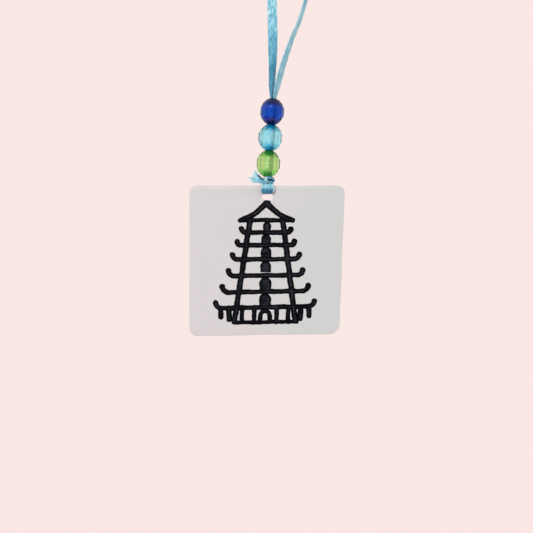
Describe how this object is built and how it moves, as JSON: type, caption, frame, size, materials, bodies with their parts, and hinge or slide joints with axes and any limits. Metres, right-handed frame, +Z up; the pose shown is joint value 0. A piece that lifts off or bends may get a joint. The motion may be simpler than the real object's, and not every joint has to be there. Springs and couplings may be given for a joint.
{
  "type": "souvenir christmas ornament",
  "caption": "Small rounded square white plastic tile with a black line drawing of a tiered pagoda, hung from faceted translucent beads on a looped light blue satin ribbon.",
  "frame": {"origin": "where a hook touches the top inside of the hanging ribbon loop", "axes": "+Z up, -Y is the side of the tile with the drawing, +X to the right when the drawing is seen"},
  "size_m": [0.0519, 0.008, 0.1595],
  "materials": {
    "ribbon_satin": "satin weave",
    "acrylic_dark_blue": "moulded facets, translucent acrylic",
    "acrylic_light_blue": "moulded facets, translucent acrylic",
    "acrylic_green": "moulded facets, translucent acrylic",
    "frosted_plastic": "fine frosted, slightly milky",
    "black_ink": "brushed-on marker ink, semi-matt"
  },
  "bodies": {
    "hanger": {"ribbon_loop": "ribbon_satin"},
    "bead_string": {"ribbon_core": "ribbon_satin"},
    "bead_dark_blue": {"bead_dark_blue": "acrylic_dark_blue"},
    "bead_light_blue": {"bead_light_blue": "acrylic_light_blue"},
    "bead_green": {"bead_green": "acrylic_green"},
    "knot": {"ribbon_knot": "ribbon_satin", "ribbon_tail_upper": "ribbon_satin", "ribbon_tail_lower": "ribbon_satin"},
    "tie": {"ribbon_tie": "ribbon_satin"},
    "tile": {"tile": "frosted_plastic", "pagoda_drawing": "black_ink"}
  },
  "joints": [
    {"name": "string_side_swing", "type": "hinge", "parent": "hanger", "child": "bead_string", "pos_m": [0, 0, -0.08], "axis": [0, 1, 0], "range_deg": [-20, 20]},
    {"name": "bead_dark_blue_spin", "type": "hinge", "parent": "bead_string", "child": "bead_dark_blue", "pos_m": [-0.00032, 0, -0.08429], "axis": [0.0732, 0, 0.9973], "continuous": true},
    {"name": "bead_light_blue_spin", "type": "hinge", "parent": "bead_string", "child": "bead_light_blue", "pos_m": [-0.00095, 0, -0.09297], "axis": [0.0732, 0, 0.9973], "continuous": true},
    {"name": "bead_green_spin", "type": "hinge", "parent": "bead_string", "child": "bead_green", "pos_m": [-0.00159, 0, -0.10164], "axis": [0.0732, 0, 0.9973], "continuous": true},
    {"name": "tile_turn", "type": "hinge", "parent": "bead_string", "child": "knot", "pos_m": [-0.0019, 0, -0.10723], "axis": [0, 0, 1], "range_deg": [-180, 180], "stiffness_Nm_per_rad": 0.00002},
    {"name": "tile_fore_aft_swing", "type": "hinge", "parent": "knot", "child": "tie", "pos_m": [-0.0019, 0, -0.10723], "axis": [1, 0, 0], "range_deg": [-25, 25]},
    {"name": "tile_rock", "type": "hinge", "parent": "tie", "child": "tile", "pos_m": [-0.0019, 0, -0.11238], "axis": [0, 1, 0], "range_deg": [-8, 8]}
  ]
}
